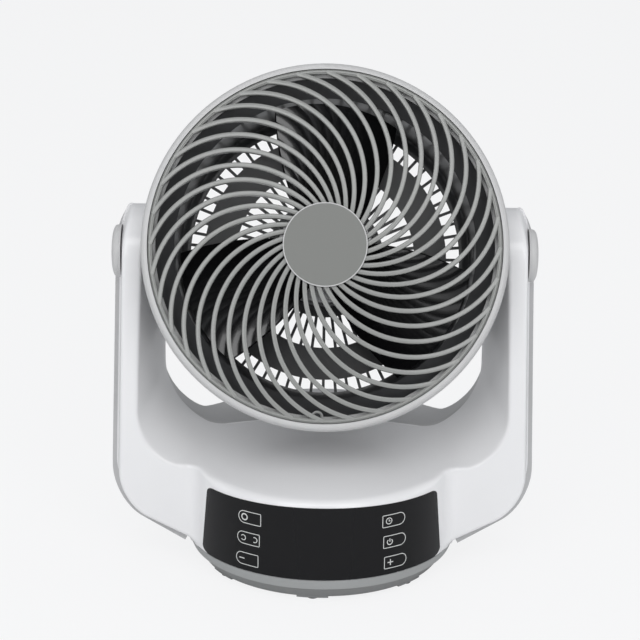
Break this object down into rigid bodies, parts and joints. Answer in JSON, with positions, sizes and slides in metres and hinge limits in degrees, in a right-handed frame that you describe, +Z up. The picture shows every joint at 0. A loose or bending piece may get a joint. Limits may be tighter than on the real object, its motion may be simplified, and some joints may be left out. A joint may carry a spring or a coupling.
{
  "type": "air circulator fan",
  "caption": "Desk air circulator: a round head with a spiral guard, tilting in a U-shaped yoke that swings on a low round foot with a curved touch panel.",
  "frame": {"origin": "on the standing surface, under the middle of the round foot", "axes": "+Z up; the front of the fan faces -Y; +X is towards the right of a viewer standing in front"},
  "size_m": [0.312, 0.2113, 0.3749],
  "materials": {
    "white_shell": "satin white",
    "grey_shell": "light grey satin",
    "light_grey": "light grey satin",
    "foot": "fine-grained grey",
    "black_panel": "gloss black",
    "film": "amber film",
    "grille_grey": "mid-grey satin",
    "charcoal": "dark satin",
    "black_blade": "gloss black",
    "rubber": "matte black",
    "nylon": "natural white",
    "steel": "bright",
    "motor_metal": "cast",
    "board": "green lacquer"
  },
  "bodies": {
    "foot": {"foot_base": "foot", "rubber_feet": "rubber", "swivel_post": "steel", "foot_screws": "steel", "thrust_washer": "nylon", "swing_gear": "nylon", "post_nut": "steel"},
    "yoke": {"base_tray": "light_grey", "front_shell": "white_shell", "rear_shell": "grey_shell", "control_panel": "black_panel", "touch_film": "film", "main_board": "board", "board_screws": "steel", "swing_motor": "motor_metal", "swing_screws": "steel", "tray_screws": "steel", "shell_screws": "steel", "power_inlet": "rubber", "bush_left": "nylon", "bush_right": "nylon", "cap_left": "light_grey", "cap_right": "light_grey"},
    "swing_pinion": {"swing_pinion": "nylon"},
    "head": {"front_ring": "light_grey", "spiral_grille": "grille_grey", "centre_cap": "grille_grey", "rear_housing": "charcoal", "hub_left": "steel", "hub_right": "steel", "tilt_washer_left": "nylon", "tilt_washer_right": "nylon", "hub_clip_left": "steel", "hub_clip_right": "steel", "hub_screws": "steel", "motor_body": "motor_metal", "motor_cover": "motor_metal", "motor_screws": "steel", "lock_screw": "steel"},
    "impeller": {"impeller": "black_blade", "motor_shaft": "steel", "impeller_nut": "steel"}
  },
  "joints": [
    {"name": "swivel", "type": "hinge", "parent": "foot", "child": "yoke", "pos_m": [0, 0, 0.012], "axis": [0, 0, 1], "range_deg": [-40, 40]},
    {"name": "tilt", "type": "hinge", "parent": "yoke", "child": "head", "pos_m": [0, 0, 0.2335], "axis": [-1, 0, 0], "range_deg": [-23.5, 66.5]},
    {"name": "spin", "type": "hinge", "parent": "head", "child": "impeller", "pos_m": [0, 0, 0.2335], "axis": [0, -0.9171, 0.3987], "continuous": true},
    {"name": "pinion_spin", "type": "hinge", "parent": "yoke", "child": "swing_pinion", "pos_m": [0, 0.0375, 0.02], "axis": [0, 0, 1], "range_deg": [-165, 165]}
  ],
  "couplings": [
    {"joint": "pinion_spin", "follows": "swivel", "ratio": 4}
  ]
}
